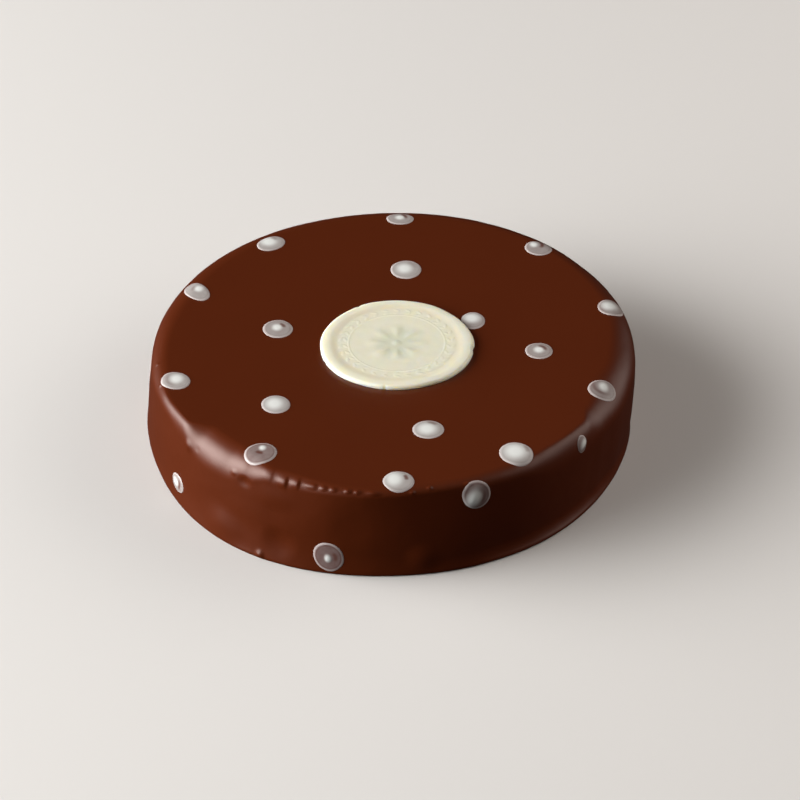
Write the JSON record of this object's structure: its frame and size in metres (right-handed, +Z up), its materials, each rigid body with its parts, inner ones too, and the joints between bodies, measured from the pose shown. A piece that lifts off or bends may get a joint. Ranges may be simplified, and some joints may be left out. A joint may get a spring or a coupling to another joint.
{
  "type": "chocolate torte",
  "caption": "Round, low chocolate-glazed torte with white glaze dots and a cream medallion on top.",
  "frame": {"origin": "middle of the flat underside, on the surface that the torte stands on", "axes": "+Z up, -Y towards the viewer of the picture, +X to that viewer's right"},
  "size_m": [0.2039, 0.2044, 0.0445],
  "materials": {
    "chocolate_glaze": "poured chocolate glaze, satin gloss",
    "white_chocolate": "cast white chocolate, soft sheen",
    "white_glaze": "milky white glaze drops, thin and translucent at the edge"
  },
  "bodies": {
    "root": {"torte_body": "chocolate_glaze", "cream_seal": "white_chocolate", "white_dot_01": "white_glaze", "white_dot_02": "white_glaze", "white_dot_03": "white_glaze", "white_dot_04": "white_glaze", "white_dot_05": "white_glaze", "white_dot_06": "white_glaze", "white_dot_07": "white_glaze", "white_dot_08": "white_glaze", "white_dot_09": "white_glaze", "white_dot_10": "white_glaze", "white_dot_11": "white_glaze", "white_dot_12": "white_glaze", "white_dot_13": "white_glaze", "white_dot_14": "white_glaze", "white_dot_15": "white_glaze", "white_dot_16": "white_glaze", "white_dot_17": "white_glaze", "white_dot_18": "white_glaze", "white_dot_19": "white_glaze", "white_dot_20": "white_glaze", "white_dot_21": "white_glaze", "white_dot_22": "white_glaze", "white_dot_23": "white_glaze", "white_dot_24": "white_glaze", "white_dot_25": "white_glaze"}
  },
  "joints": []
}
